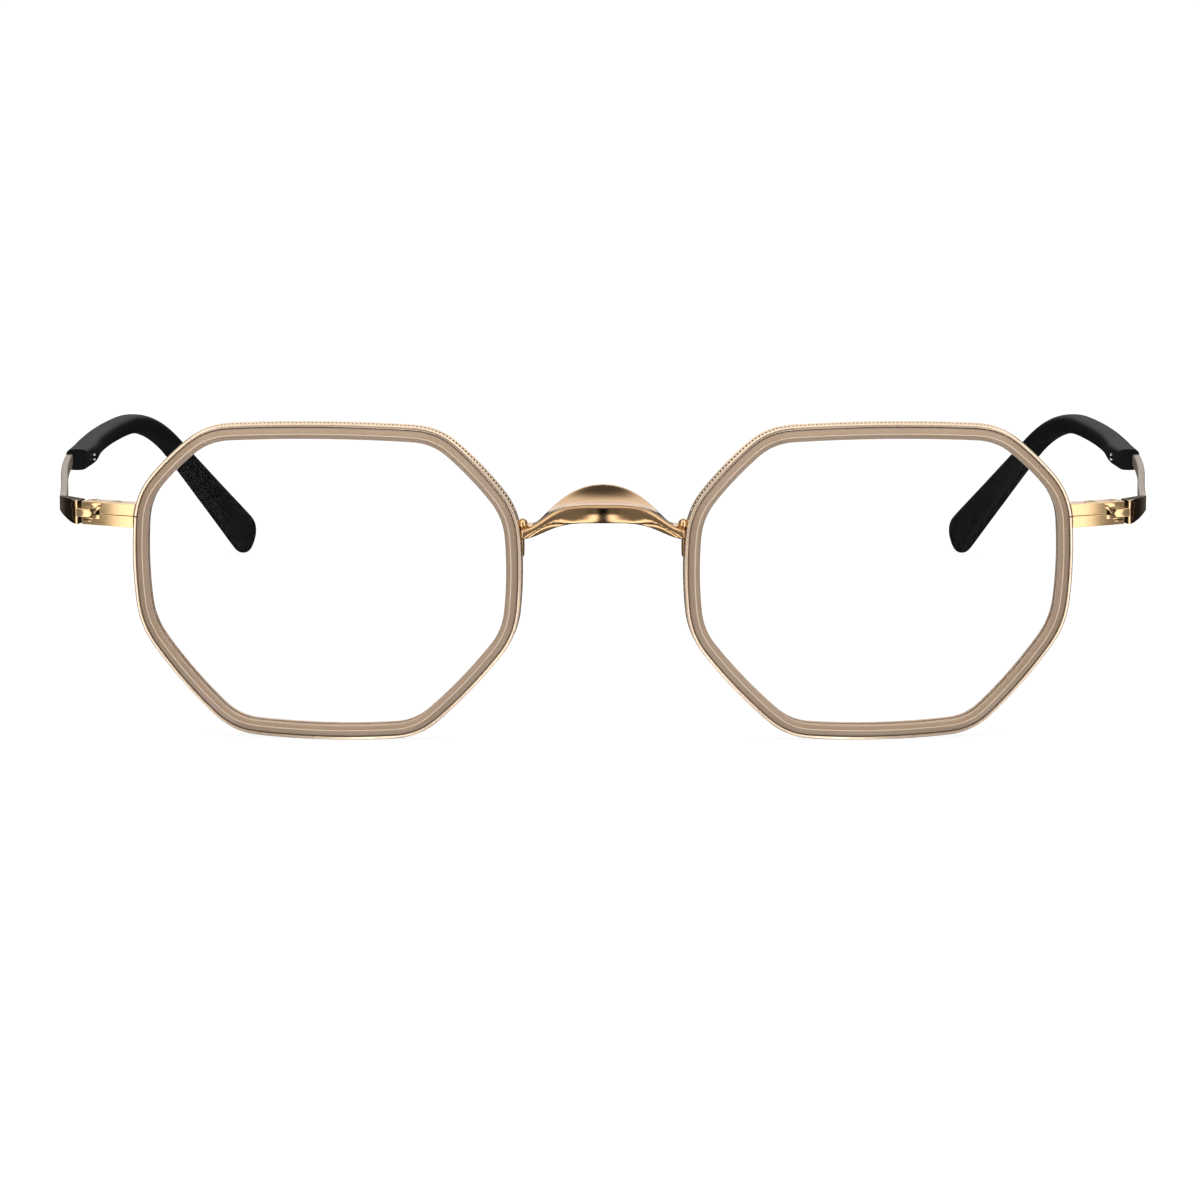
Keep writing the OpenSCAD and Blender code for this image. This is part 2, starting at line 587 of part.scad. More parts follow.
// Two pins through the tip's inner wall, from the core to just past the tip's surface
pin_proud = 0.03;
pin_start = core_in + core_t / 2;
tip_wall = tip_width(pin_at) / 2 * cos(180 / ring_points) ^ (2 / tip_square(pin_at));
pin_len = tip_in(pin_at) + tip_wall + pin_proud - pin_start;
module pins(grow) {
    for (k = [-1, 1]) translate(path_at(pin_at) - outside(pin_at) * (pin_start + grow))
        rotate([0, 0, -turn(pin_at)]) translate([0, 0, k * pin_gap / 2]) rotate([0, -90, 0])
            cylinder(h = pin_len + 4 * grow, r = pin_r + grow / 2);
}
module tip_pins() { color(silver) in_front_frame() pins(0); }

other_side() eyewire();  // eyewire_left
eyewire();  // eyewire_right
other_side() inner_rim();  // inner_rim_left
inner_rim();  // inner_rim_right
other_side() lens();  // lens_left
lens();  // lens_right
saddle_bridge();
other_side() endpiece_half(true);  // endpiece_upper_left
endpiece_half(true);  // endpiece_upper_right
other_side() endpiece_half(false);  // endpiece_lower_left
endpiece_half(false);  // endpiece_lower_right
other_side() rim_screw();  // rim_screw_left
rim_screw();  // rim_screw_right
other_side() hinge_screw();  // hinge_screw_left
hinge_screw();  // hinge_screw_right
other_side() temple_joint();  // temple_joint_left
temple_joint();  // temple_joint_right
other_side() temple_strip();  // temple_strip_left
temple_strip();  // temple_strip_right
other_side() temple_tip();  // temple_tip_left
temple_tip();  // temple_tip_right
other_side() tip_pins();  // tip_pins_left
tip_pins();  // tip_pins_right
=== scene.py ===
"""Octagonal eyeglasses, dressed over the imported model: gold eyewires with a beaded edge, taupe
inner rims, a saddle bridge, hinged endpieces, slim temples and black tips. Sizes are in metres."""

import json
import math

import bmesh
import bpy
from bpy.props import FloatProperty, FloatVectorProperty, IntProperty, PointerProperty
from mathutils import Matrix, Vector
from mathutils.bvhtree import BVHTree


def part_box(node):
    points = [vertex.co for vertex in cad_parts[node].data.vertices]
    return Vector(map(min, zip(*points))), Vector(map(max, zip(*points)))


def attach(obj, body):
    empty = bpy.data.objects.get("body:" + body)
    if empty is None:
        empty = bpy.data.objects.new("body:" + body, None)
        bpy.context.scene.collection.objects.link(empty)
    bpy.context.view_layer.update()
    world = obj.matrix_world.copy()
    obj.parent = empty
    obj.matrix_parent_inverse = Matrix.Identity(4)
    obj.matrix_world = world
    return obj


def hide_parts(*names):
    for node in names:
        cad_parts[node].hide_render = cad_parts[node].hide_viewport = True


bl_info = {
    "name": "Octagonal Eyeglasses",
    "version": (1, 0, 0),
    "blender": (4, 5, 0),
    "location": "View3D > Sidebar > Eyeglasses",
    "description": "Dresses the packed eyeglasses in metal, acetate, lens and plastic",
    "category": "Object",
}

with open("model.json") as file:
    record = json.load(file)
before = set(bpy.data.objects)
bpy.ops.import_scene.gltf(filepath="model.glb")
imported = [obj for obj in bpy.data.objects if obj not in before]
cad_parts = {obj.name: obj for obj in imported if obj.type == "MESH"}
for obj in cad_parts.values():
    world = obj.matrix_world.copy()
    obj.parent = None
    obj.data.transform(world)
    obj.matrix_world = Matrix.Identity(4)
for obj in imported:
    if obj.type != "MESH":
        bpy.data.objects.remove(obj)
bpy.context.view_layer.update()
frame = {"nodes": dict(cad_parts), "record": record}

MM = 0.001
SIDES = ("left", "right")
FRONT = "front"
MERGE = 0.001 * MM


def temple_body(side):
    return f"temple_{side}"


def colour_property(name, description, default):
    return FloatVectorProperty(name=name, description=description, default=default,
                               subtype="COLOR", size=3, min=0, max=1)


def length_property(name, description, default):
    return FloatProperty(name=name, description=description, default=default, unit="LENGTH",
                         precision=5)


def angle_property(name, description, degrees):
    return FloatProperty(name=name, description=description, default=math.radians(degrees),
                         subtype="ANGLE")


def share_property(name, description, default):
    return FloatProperty(name=name, description=description, default=default, min=0, max=1)


def count_property(name, description, default):
    return IntProperty(name=name, description=description, default=default, min=0)


class FinishSettings(bpy.types.PropertyGroup):
    gold: colour_property("Gold", "Colour of the polished gold metal", (0.78, 0.53, 0.28))
    pale: colour_property("Pale gold", "Colour of the eyewires", (0.76, 0.59, 0.44))
    # Painted shade: the bridge's gold is darkened in place of its darker reflections.
    shaded_gold: colour_property("Antique gold", "Colour of the bridge", (0.53, 0.33, 0.17))
    # Painted shade: the dark gold for the beads' channel, the hinge slots and gaps, and the
    # engraved lines.
    gold_shade: colour_property("Dark gold", "Colour of the recesses", (0.09, 0.05, 0.025))
    acetate: colour_property("Acetate", "Colour of the inner rims", (0.195, 0.135, 0.088))
    acetate_vein: colour_property("Acetate vein", "Second colour of the inner rims",
                                  (0.176, 0.122, 0.08))
    # Painted highlight: the pale colour laid along the inner rims' ridge.
    acetate_ridge_highlight: colour_property("Acetate ridge", "Colour of the inner rims' polished ridge",
                                   (0.52, 0.42, 0.33))
    # Painted shade: the dark colour laid along the line where rim and eyewire meet.
    acetate_seam_shade: colour_property("Acetate seam", "Colour of the line where rim and eyewire meet",
                                  (0.13, 0.09, 0.065))
    strip: colour_property("Strip", "Colour of the temple strips", (0.20, 0.158, 0.122))
    black: colour_property("Black", "Colour of the temple tips", (0.0035, 0.0038, 0.004))
    silver: colour_property("Silver", "Colour of the tip pins", (0.80, 0.80, 0.80))
    lens_tint: colour_property("Lens tint", "Colour of the clear lenses", (1.0, 1.0, 1.0))


class ShapeSettings(bpy.types.PropertyGroup):
    edge_round: length_property("Edge round", "Rounding of the joint blocks' edges", 0.06 * MM)
    screw_round: length_property("Screw round", "Rounding of the screws' edges", 0.036 * MM)
    rim_round: length_property("Rim round", "Rounding of the inner rims' edges", 0.10 * MM)
    lip_round: length_property("Lip round", "Rounding of the eyewires' edges", 0.09 * MM)
    seam_depth: length_property("Seam depth", "Depth of the inner rims' outer edge in the eye",
                                0.12 * MM)
    # Points this near the ridge get a painted highlight, and those this near the seam a painted
    # shade line.
    band_reach: length_property("Band reach", "Depth within which ridge and seam are marked",
                                0.03 * MM)
    lens_radius: length_property("Lens radius", "Radius of the eyes' curved front", 140 * MM)
    wrap: angle_property("Wrap", "Angle by which each eye turns outwards", 5)
    grain_from: angle_property("Milgrain start", "Angle round the eye where the beads start", 45)
    grain_to: angle_property("Milgrain end", "Angle round the eye where the beads end", 160)
    grain_pitch: length_property("Milgrain pitch", "Distance from bead to bead", 0.52 * MM)
    grain_share: share_property("Milgrain share", "Share of the pitch that a bead fills", 0.8)
    grain_length: length_property("Milgrain length", "Length of a bead, front to back", 1.5 * MM)
    grain_margin: length_property("Milgrain margin", "Width of the lip beside the beads", 0.32 * MM)
    grain_depth: length_property("Milgrain depth", "Depth of the beads' channel", 0.1 * MM)
    bridge_voxel: length_property("Bridge grain", "Mesh size of the recast bridge", 0.1 * MM)
    bridge_smoothing: count_property("Bridge smoothing", "Passes of smoothing on the bridge", 45)
    saddle_sag: length_property("Saddle sag", "Hollow of the saddle's upper side", 0.22 * MM)
    bow_reach: length_property("Bow reach", "Half width of the bridge's turning front", 3 * MM)
    bow_slope: share_property("Bow slope", "Slope of the bridge's front beside its middle", 0.12)
    lug_r: length_property("Lug radius", "Radius of the lug on each foot of the bridge", 0.62 * MM)
    lug_aside: length_property("Lug aside", "Distance of a lug from the middle", 10.3 * MM)
    lug_back: length_property("Lug back", "Distance of a lug behind the front", 1.2 * MM)
    lug_height: length_property("Lug height", "Height of a lug over the table", 28.5 * MM)
    sweep: angle_property("Endpiece sweep", "Angle by which each endpiece turns backwards", 21.5)
    endpiece_half: length_property("Endpiece half", "Half an endpiece's thickness", 1.1 * MM)
    endpiece_len: length_property("Endpiece length", "Length inwards of the hinge", 6.3 * MM)
    endpiece_bow: length_property("Endpiece bow", "Rise of an endpiece's front", 0.15 * MM)
    endpiece_voxel: length_property("Endpiece grain", "Mesh size of the recast endpieces",
                                    0.06 * MM)
    endpiece_smoothing: count_property("Endpiece smoothing", "Passes of smoothing on them", 4)
    slot_half: length_property("Slot half", "Half the height of an endpiece's slot", 0.61 * MM)
    slot_reach: length_property("Slot reach", "Length of the slot inwards of the hinge", 1.35 * MM)
    gap_reach: length_property("Gap reach", "Distance from hinge to joint block", 1.8 * MM)
    relief: length_property("Relief", "Height of the ornament on the hinges", 0.07 * MM)
    engraved_r: length_property("Engraved line", "Radius of the engraved lines", 0.06 * MM)
    tip_round: length_property("Tip round", "Rounding of the tips' front ends", 0.12 * MM)
    pin_round: length_property("Pin round", "Rounding of the pins' ends", 0.08 * MM)
    pin_shift: length_property("Pin shift", "How far before the solid's pins they show", 2.8 * MM)
    pin_aside: length_property("Pin aside", "Distance of the pins' inner ends from the middle",
                               71.36 * MM)


class StageSettings(bpy.types.PropertyGroup):
    camera_distance: length_property("Camera distance", "Distance to the target", 0.7)
    camera_elevation: angle_property("Camera elevation", "Angle over the horizon", 10.9)
    view_width: length_property("View width", "Width seen at the target", 154.44 * MM)
    target_height: length_property("Target height", "Height of the point looked at", 18.74 * MM)
    target_x: length_property("Target offset", "Sideways place of that point", -0.386 * MM)
    floor_size: length_property("Floor size", "Width of the floor", 6.0)
    floor_colour: colour_property("Floor", "Colour of the pale floor", (0.90, 0.90, 0.90))
    floor_white: share_property("Floor white", "Share of plain white in the floor as seen", 0.93)


def finish():
    return bpy.context.scene.eyeglass_finish


def shapes():
    return bpy.context.scene.eyeglass_shapes


# Modelling helpers

def only(piece):
    """Selects this piece alone and makes it active."""
    bpy.ops.object.select_all(action="DESELECT")
    piece.select_set(True)
    bpy.context.view_layer.objects.active = piece


def copy_of_node(node, name):
    """A copy of a CAD node's mesh, merged into one skin of faces."""
    mesh = frame["nodes"][node].data.copy()
    mesh.materials.clear()
    piece = bpy.data.objects.new(name, mesh)
    bpy.context.scene.collection.objects.link(piece)
    only(piece)
    bpy.ops.mesh.customdata_custom_splitnormals_clear()
    bpy.ops.object.mode_set(mode="EDIT")
    bpy.ops.mesh.select_all(action="SELECT")
    bpy.ops.mesh.remove_doubles(threshold=MERGE)
    bpy.ops.object.mode_set(mode="OBJECT")
    return piece


def in_edit_mode(piece, *steps):
    """Runs each step on the whole mesh of the piece, in edit mode."""
    only(piece)
    bpy.ops.object.mode_set(mode="EDIT")
    for step in steps:
        bpy.ops.mesh.select_all(action="SELECT")
        step()
    bpy.ops.object.mode_set(mode="OBJECT")


def triangles_to_quads():
    bpy.ops.mesh.tris_convert_to_quads(face_threshold=math.pi, shape_threshold=math.pi)


def dissolve_flats():
    bpy.ops.mesh.dissolve_limited(angle_limit=math.radians(0.1))


def apply_modifier(piece, kind, **settings):
    """Applies one modifier of this kind at once."""
    modifier = piece.modifiers.new(kind.lower(), kind)
    for name, value in settings.items():
        setattr(modifier, name, value)
    only(piece)
    bpy.ops.object.modifier_apply(modifier=modifier.name)


def round_edges(piece, width, segments=2, over=30):
    apply_modifier(piece, "BEVEL", width=width, segments=segments, limit_method="ANGLE",
                   angle_limit=math.radians(over), miter_outer="MITER_ARC")


def subdivide(piece, levels=1):
    apply_modifier(piece, "SUBSURF", levels=levels, render_levels=levels)


def shade(piece, angle=40):
    only(piece)
    bpy.ops.object.shade_smooth_by_angle(angle=math.radians(angle))


def recast(piece, grain, passes):
    """Recasts a piece as one even skin and smooths away its facets."""
    apply_modifier(piece, "REMESH", mode="VOXEL", voxel_size=grain, use_smooth_shade=True)
    apply_modifier(piece, "SMOOTH", factor=0.5, iterations=passes)


def fade(value, start, stop):
    """A share that falls smoothly from 1 at the start to 0 at the stop."""
    share = min(1, max(0, (stop - value) / (stop - start)))
    return share ** 2 * (3 - 2 * share)


def crisp(piece):
    """Keeps large faces flat beside their rounded edges."""
    shade(piece)
    apply_modifier(piece, "WEIGHTED_NORMAL", weight=100, keep_sharp=True)


def paint_shade_on(piece, test):
    """Gives the dark finish, painted shade for slots, gaps and hollows, to the faces that pass the
    test.
    """
    piece.data.materials.append(material("painted_shade_gold"))
    for face in piece.data.polygons:
        if test(face):
            face.material_index = len(piece.data.materials) - 1


def place(piece, body, slot, made, *nodes):
    """Gives a piece its made finish and the body it rides on, and hides the nodes it stands for."""
    piece.data.materials.append(made)
    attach(piece, body)
    if nodes:
        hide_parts(*nodes)


# Materials

class Shader:
    """A material's node tree, with a Principled shader at its end."""

    def __init__(self, name, **values):
        self.material = bpy.data.materials.new(name)
        self.material.use_nodes = True
        self.tree = self.material.node_tree
        self.principled = self.tree.nodes["Principled BSDF"]
        for socket, value in values.items():
            self.principled.inputs[socket.replace("_", " ")].default_value = value
        self.coordinates = self.add("ShaderNodeTexCoord").outputs["Object"]

    def add(self, kind, links=(), **values):
        node = self.tree.nodes.new(kind)
        for name, value in values.items():
            if hasattr(node, name):
                setattr(node, name, value)
            else:
                node.inputs[name.replace("_", " ")].default_value = value
        for socket, source in dict(links).items():
            self.tree.links.new(source, node.inputs[socket])
        return node

    def noise(self, size, detail=3.0):
        """Noise whose patches are about size wide, in metres."""
        node = self.add("ShaderNodeTexNoise", {"Vector": self.coordinates}, Scale=1 / size,
                        Detail=detail)
        return node.outputs["Fac"]

    def spread(self, source, low, high, start=0.35, stop=0.65):
        """A value that goes from low to high as the source goes from start to stop."""
        node = self.add("ShaderNodeMapRange", {"Value": source}, From_Min=start, From_Max=stop,
                        To_Min=low, To_Max=high)
        return node.outputs[0]

    def mix(self, factor, first, second):
        """A mix of two colours, each a link or three numbers."""
        node = self.add("ShaderNodeMix", data_type="RGBA")
        self.tree.links.new(factor, node.inputs[0])
        for socket, colour in ((node.inputs[6], first), (node.inputs[7], second)):
            if isinstance(colour, bpy.types.NodeSocket):
                self.tree.links.new(colour, socket)
            else:
                socket.default_value = (*colour, 1)
        return node.outputs[2]

    def drive(self, socket, source):
        self.tree.links.new(source, self.principled.inputs[socket])

    def mottle(self, size, colour, factor):
        """Drives the colour from one tone to its factor, in patches about size wide."""
        self.drive("Base Color", self.mix(self.noise(size), colour, [c * factor for c in colour]))

    def bump(self, source, height, strength):
        node = self.add("ShaderNodeBump", {"Height": source}, Strength=strength, Distance=height)
        self.drive("Normal", node.outputs[0])


def gold_metal():
    s = Shader("gold_metal", Metallic=1.0)
    cloud = s.spread(s.noise(6 * MM), 0, 1)
    s.drive("Base Color", s.mix(cloud, finish().gold, [c * 0.93 for c in finish().gold]))
    s.drive("Roughness", s.spread(s.noise(0.7 * MM, 4), 0.12, 0.145))
    s.bump(s.noise(0.12 * MM, 2), 0.002 * MM, 0.4)
    return s.material


def pale_gold():
    s = Shader("pale_gold", Metallic=0.8)
    s.mottle(5 * MM, finish().pale, 0.95)
    s.drive("Roughness", s.spread(s.noise(0.7 * MM, 4), 0.15, 0.22))
    return s.material


# Painted shade: a darker copy of the gold, standing in for the bridge's darker reflections.
def shaded_bridge_gold():
    s = Shader("shaded_bridge_gold", Metallic=1.0)
    s.mottle(1.5 * MM, finish().shaded_gold, 0.9)
    s.drive("Roughness", s.spread(s.noise(2 * MM), 0.11, 0.13))
    return s.material


# Painted shade: a dark gold laid where shade falls in channels, slots, gaps and engraved lines.
def painted_shade_gold():
    s = Shader("painted_shade_gold", Metallic=1.0)
    s.mottle(0.6 * MM, finish().gold_shade, 1.5)
    s.drive("Roughness", s.spread(s.noise(0.3 * MM), 0.35, 0.55))
    return s.material


def taupe_acetate():
    """Clouded plastic with a painted highlight line on the ridge and a painted shade line at the
    seam.
    """
    s = Shader("taupe_acetate", Coat_Weight=0.2, Coat_Roughness=0.25, Subsurface_Weight=0.1,
               Subsurface_Scale=0.8 * MM)
    cloud = s.spread(s.noise(4 * MM, 2), 0, 1, 0.25, 0.75)
    clouded = s.mix(cloud, finish().acetate, finish().acetate_vein)
    band = s.add("ShaderNodeAttribute", attribute_name="band").outputs["Fac"]
    # Painted highlight: the ridge band turns to the pale ridge colour.
    ridge = s.spread(band, 0, 0.8, 0.88, 1.0)
    highlighted = s.mix(ridge, clouded, finish().acetate_ridge_highlight)
    # Painted shade: the seam band turns to the dark seam colour.
    seam = s.spread(band, 1, 0, -0.95, -0.65)
    s.drive("Base Color", s.mix(seam, highlighted, finish().acetate_seam_shade))
    s.drive("Roughness", s.spread(s.noise(0.8 * MM), 0.30, 0.36))
    s.bump(s.noise(1.2 * MM, 2), 0.004 * MM, 0.2)
    return s.material


def clear_lens():
    """Clear plastic that lets the light through to the floor."""
    s = Shader("clear_lens", Roughness=0.01, IOR=1.1, Transmission_Weight=1.0,
               Base_Color=(*finish().lens_tint, 1))
    clear = s.add("ShaderNodeBsdfTransparent")
    path = s.add("ShaderNodeLightPath")
    mix = s.add("ShaderNodeMixShader")
    s.tree.links.new(path.outputs["Is Shadow Ray"], mix.inputs[0])
    s.tree.links.new(s.principled.outputs[0], mix.inputs[1])
    s.tree.links.new(clear.outputs[0], mix.inputs[2])
    s.tree.links.new(mix.outputs[0], s.tree.nodes["Material Output"].inputs["Surface"])
    return s.material


def taupe_metal():
    s = Shader("taupe_metal", Metallic=0.35)
    s.mottle(3 * MM, finish().strip, 0.85)
    s.drive("Roughness", s.spread(s.noise(0.5 * MM, 4), 0.32, 0.45))
    s.bump(s.noise(0.15 * MM, 2), 0.003 * MM, 0.4)
    return s.material


def satin_black():
    s = Shader("satin_black", IOR=1.12, Specular_IOR_Level=0.3)
    s.mottle(8 * MM, finish().black, 1.4)
    s.drive("Roughness", s.spread(s.noise(5 * MM), 0.38, 0.42))
    return s.material


def silver_metal():
    s = Shader("silver_metal", Metallic=1.0, Base_Color=(*finish().silver, 1))
    s.drive("Roughness", s.spread(s.noise(0.2 * MM), 0.2, 0.3))
    return s.material


MAKERS = {"gold_metal": gold_metal, "pale_gold": pale_gold, "shaded_bridge_gold": shaded_bridge_gold,
          "painted_shade_gold": painted_shade_gold, "taupe_acetate": taupe_acetate, "clear_lens": clear_lens,
          "taupe_metal": taupe_metal, "satin_black": satin_black, "silver_metal": silver_metal}


def material(name):
    """The finish of this name, made when it is first asked for."""
    made = bpy.data.materials.get(f"{name}_finish")
    if made is None:
        made = MAKERS[name]()
        made.name = f"{name}_finish"
    return made


# The hinges

def hinge_axis(side):
    joints = frame["record"]["behaviour"]["joints"]
    return Vector(next(j["pos_m"] for j in joints if j["name"] == f"{side}_temple_fold"))


def outwards_of(x, side):
    """A sideways distance turned from +X to outwards, or back again."""
    return x if side == "right" else -x


def from_hinge(side, point):
    """How far outwards, back and up from the hinge axis a point lies."""
    return face_way(side, point - hinge_axis(side))


def face_way(side, way):
    """A direction turned into the endpiece's own: outwards, back and up."""
    across, along = math.cos(shapes().sweep), math.sin(shapes().sweep)
    x = outwards_of(way.x, side)
    return Vector((x * across + way.y * along, way.y * across - x * along, way.z))


def at_hinge(side, outwards, back, up):
    """A point given in the endpiece's directions, from the hinge axis, in metres."""
    across, along = math.cos(shapes().sweep), math.sin(shapes().sweep)
    x = outwards * across - back * along
    y = outwards * along + back * across
    return hinge_axis(side) + Vector((outwards_of(x, side), y, up))


# The eye and its outer wall

def eye_middle(side):
    low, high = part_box(f"eyewire_{side}")
    return (low + high) / 2


# The middles of the eyewires' boxes, and the centre of an eye's curved front, aside and in depth
EYE_MIDDLE = {side: eye_middle(side) for side in SIDES}
EYE_X = 35.855 * MM
FRONT_Y = -68.672 * MM


def angle_round_eye(point, side):
    """Angle of a point round the eye, from the temple over the top to the nose."""
    away = point - EYE_MIDDLE[side]
    return math.atan2(away.z, outwards_of(away.x, side))


def beaded_faces(mesh, side):
    """The faces of the eyewire's outer wall that carry the beads."""
    least_outwards = 0.8
    found = []
    for face in mesh.faces:
        middle = face.calc_center_median()
        away = middle - EYE_MIDDLE[side]
        away.y = 0
        in_reach = shapes().grain_from < angle_round_eye(middle, side) < shapes().grain_to
        if in_reach and face.normal.dot(away.normalized()) > least_outwards:
            found.append(face)
    return found


def wall_stations(side):
    """Points along the middle of the beaded wall, each with its ways across and out of it."""
    least_across = 0.9
    piece = copy_of_node(f"eyewire_{side}", "wall_probe")
    in_edit_mode(piece, triangles_to_quads)
    mesh = bmesh.new()
    mesh.from_mesh(piece.data)
    faces = set(beaded_faces(mesh, side))
    across = {edge for face in faces for edge in face.edges
              if abs((edge.verts[0].co - edge.verts[1].co).normalized().y) > least_across}
    stations = []
    for edge in across:
        first, second = sorted((v.co.copy() for v in edge.verts), key=lambda p: p.y)
        way_out = sum((face.normal for face in edge.link_faces if face in faces), Vector())
        stations.append(((first + second) / 2, (second - first).normalized(), way_out.normalized()))
    mesh.free()
    bpy.data.objects.remove(piece)
    return sorted(stations, key=lambda s: angle_round_eye(s[0], side))


def spaced_along(stations, pitch, margin):
    """Points at an even pitch along the stations, kept a margin away from both ends."""
    lengths = [0.0]
    for before, after in zip(stations, stations[1:]):
        lengths.append(lengths[-1] + (after[0] - before[0]).length)
    count = int((lengths[-1] - 2 * margin) / pitch)
    start = (lengths[-1] - count * pitch) / 2
    spots = []
    index = 0
    for step in range(count + 1):
        at = start + step * pitch
        while lengths[index + 1] < at:
            index += 1
        share = (at - lengths[index]) / (lengths[index + 1] - lengths[index])
        spots.append([a.lerp(b, share) for a, b in zip(stations[index], stations[index + 1])])
    return spots


class EYEGLASS_OT_eyewires(bpy.types.Operator):
    """Gold eyewires, with a channel cut in the outer wall for the beads"""
    bl_idname = "eyeglass.eyewires"
    bl_label = "Eyewires"

    def execute(self, context):
        for side in SIDES:
            wire = copy_of_node(f"eyewire_{side}", f"gold_eyewire_{side}")
            in_edit_mode(wire, triangles_to_quads)
            place(wire, FRONT, "gold_metal", material("pale_gold"), f"eyewire_{side}")
            # The second slot paints shade on the channel's floor.
            wire.data.materials.append(material("painted_shade_gold"))
            self.cut_channel(wire, side)
            round_edges(wire, shapes().lip_round, 3)
            subdivide(wire)
            shade(wire)
        return {"FINISHED"}

    def cut_channel(self, wire, side):
        """Sinks the beaded faces inside a plain lip and paints shade on the channel's floor."""
        only(wire)
        bpy.ops.object.mode_set(mode="EDIT")
        bpy.ops.mesh.select_mode(type="FACE")
        bpy.ops.mesh.select_all(action="DESELECT")
        mesh = bmesh.from_edit_mesh(wire.data)
        for face in beaded_faces(mesh, side):
            face.select = True
        bmesh.update_edit_mesh(wire.data)
        bpy.ops.mesh.inset(thickness=shapes().grain_margin, depth=0)
        bpy.ops.mesh.inset(thickness=shapes().grain_depth / 2, depth=-shapes().grain_depth)
        wire.active_material_index = 1
        bpy.ops.object.material_slot_assign()
        bpy.ops.object.mode_set(mode="OBJECT")


class EYEGLASS_OT_milgrain(bpy.types.Operator):
    """Rows of beads in the eyewires' channels"""
    bl_idname = "eyeglass.milgrain"
    bl_label = "Milgrain"

    def execute(self, context):
        pattern = self.bead()
        for side in SIDES:
            stations = wall_stations(side)
            spots = spaced_along(stations, shapes().grain_pitch, shapes().grain_margin)
            beads = [self.seated(pattern, *spot) for spot in spots]
            bpy.ops.object.select_all(action="DESELECT")
            for bead in beads:
                bead.select_set(True)
            bpy.context.view_layer.objects.active = beads[0]
            bpy.ops.object.join()
            row = bpy.context.object
            row.name = f"milgrain_{side}"
            shade(row, 60)
            place(row, FRONT, "gold_metal", material("gold_metal"))
        bpy.data.objects.remove(pattern)
        return {"FINISHED"}

    def bead(self):
        """One oblong bead, which lies along Z and stands up along Y."""
        bpy.ops.object.select_all(action="DESELECT")
        bpy.ops.mesh.primitive_uv_sphere_add(segments=8, ring_count=5, radius=0.5)
        bead = bpy.context.object
        bead.scale = (shapes().grain_pitch * shapes().grain_share, 2 * shapes().grain_depth,
                      shapes().grain_length)
        bpy.ops.object.transform_apply(scale=True)
        return bead

    def seated(self, pattern, spot, across, way_out):
        """A copy of the bead, sunk to its middle in the channel at a spot."""
        mesh = pattern.data.copy()
        turn = Matrix((across.cross(way_out), way_out, across)).transposed().to_4x4()
        mesh.transform(Matrix.Translation(spot - way_out * shapes().grain_depth) @ turn)
        bead = bpy.data.objects.new("bead", mesh)
        bpy.context.scene.collection.objects.link(bead)
        return bead


def depth_in_eye(point, side):
    """How far a point lies behind the curved front surface of its eye."""
    mirrored = Vector((outwards_of(point.x, side), point.y, point.z))
    middle = Vector((EYE_X, FRONT_Y, EYE_MIDDLE[side].z))
    spot = Matrix.Rotation(-shapes().wrap, 3, "Z") @ (mirrored - middle)
    radius = shapes().lens_radius
    return spot.y - (radius - math.sqrt(radius ** 2 - spot.x ** 2 - spot.z ** 2))


def mark_bands(rim, side):
    """Writes 1 on the ridge's points and -1 on the seam's, where the finish paints a highlight and
    a shade line.
    """
    depths = [depth_in_eye(v.co, side) for v in rim.data.vertices]
    ridge_depth = min(depths)
    band = rim.data.attributes.new("band", "FLOAT", "POINT")
    for point, depth in zip(band.data, depths):
        at_ridge_highlight = abs(depth - ridge_depth) < shapes().band_reach
        at_seam_shade = abs(depth - shapes().seam_depth) < shapes().band_reach
        point.value = at_ridge_highlight - at_seam_shade


class EYEGLASS_OT_inner_rims(bpy.types.Operator):
    """Taupe inner rims with a soft ridge"""
    bl_idname = "eyeglass.inner_rims"
    bl_label = "Inner rims"

    def execute(self, context):
        for side in SIDES:
            rim = copy_of_node(f"inner_rim_{side}", f"taupe_rim_{side}")
            in_edit_mode(rim, triangles_to_quads)
            mark_bands(rim, side)
            round_edges(rim, shapes().rim_round, over=15)
            subdivide(rim)
            shade(rim)
            place(rim, FRONT, "taupe_acetate", material("taupe_acetate"), f"inner_rim_{side}")
        return {"FINISHED"}


class EYEGLASS_OT_lenses(bpy.types.Operator):
    """Clear lenses, which keep their own solids"""
    bl_idname = "eyeglass.lenses"
    bl_label = "Lenses"

    def execute(self, context):
        for side in SIDES:
            dress_node(f"lens_{side}", "clear_lens")
        return {"FINISHED"}


def dress_node(node, name):
    """Gives a CAD node, which keeps its shape, its finish."""
    for slot in frame["nodes"][node].material_slots:
        slot.material = material(name)


